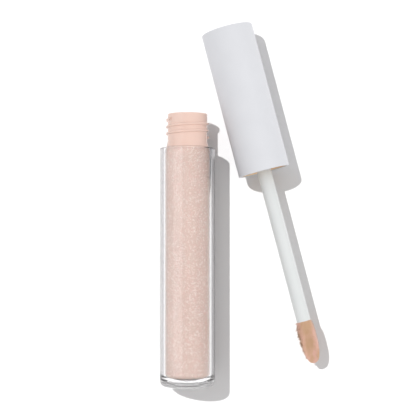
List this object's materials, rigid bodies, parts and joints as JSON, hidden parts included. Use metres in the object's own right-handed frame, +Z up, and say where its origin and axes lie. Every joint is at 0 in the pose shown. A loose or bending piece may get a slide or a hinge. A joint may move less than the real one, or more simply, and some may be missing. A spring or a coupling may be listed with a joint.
{
  "type": "lip gloss tube",
  "caption": "Open lip gloss tube: clear double-walled bottle with threaded neck and wiper, lying beside its white screw cap with wand and flocked doe-foot tip.",
  "frame": {"origin": "middle of the footprint of the tube and the applicator as they lie on a table, at table height", "axes": "+Y along the tube from its base to its neck, +Z up from the table, +X towards the applicator"},
  "size_m": [0.0464, 0.1062, 0.016],
  "materials": {
    "clear_plastic": "clear, polished",
    "vial_plastic": "clear, tinted by the gloss behind it",
    "wiper_plastic": "soft, milky",
    "gloss": "liquid with fine shimmer",
    "cap_plastic": "satin",
    "closure_plastic": "satin",
    "liner_foam": "matte",
    "stem_plastic": "satin",
    "tip_core_plastic": "satin",
    "flock": "short fibres wetted with gloss"
  },
  "bodies": {
    "tube": {"outer_shell": "clear_plastic", "vial": "vial_plastic", "wiper": "wiper_plastic", "gloss": "gloss"},
    "liner": {"cap_liner": "liner_foam"},
    "applicator": {"cap_shell": "cap_plastic", "inner_cap": "closure_plastic", "stem": "stem_plastic", "tip_core": "tip_core_plastic", "tip_flock": "flock"}
  },
  "joints": [
    {"name": "applicator_pull", "type": "slide", "parent": "tube", "child": "liner", "axis": [-0.2538, 0.9673, 0], "range_m": [0, 0.068]},
    {"name": "cap_turn", "type": "hinge", "parent": "liner", "child": "applicator", "pos_m": [0.00723, 0.00953, 0.00758], "axis": [-0.2538, 0.9673, 0], "range_deg": [0, 900]}
  ]
}
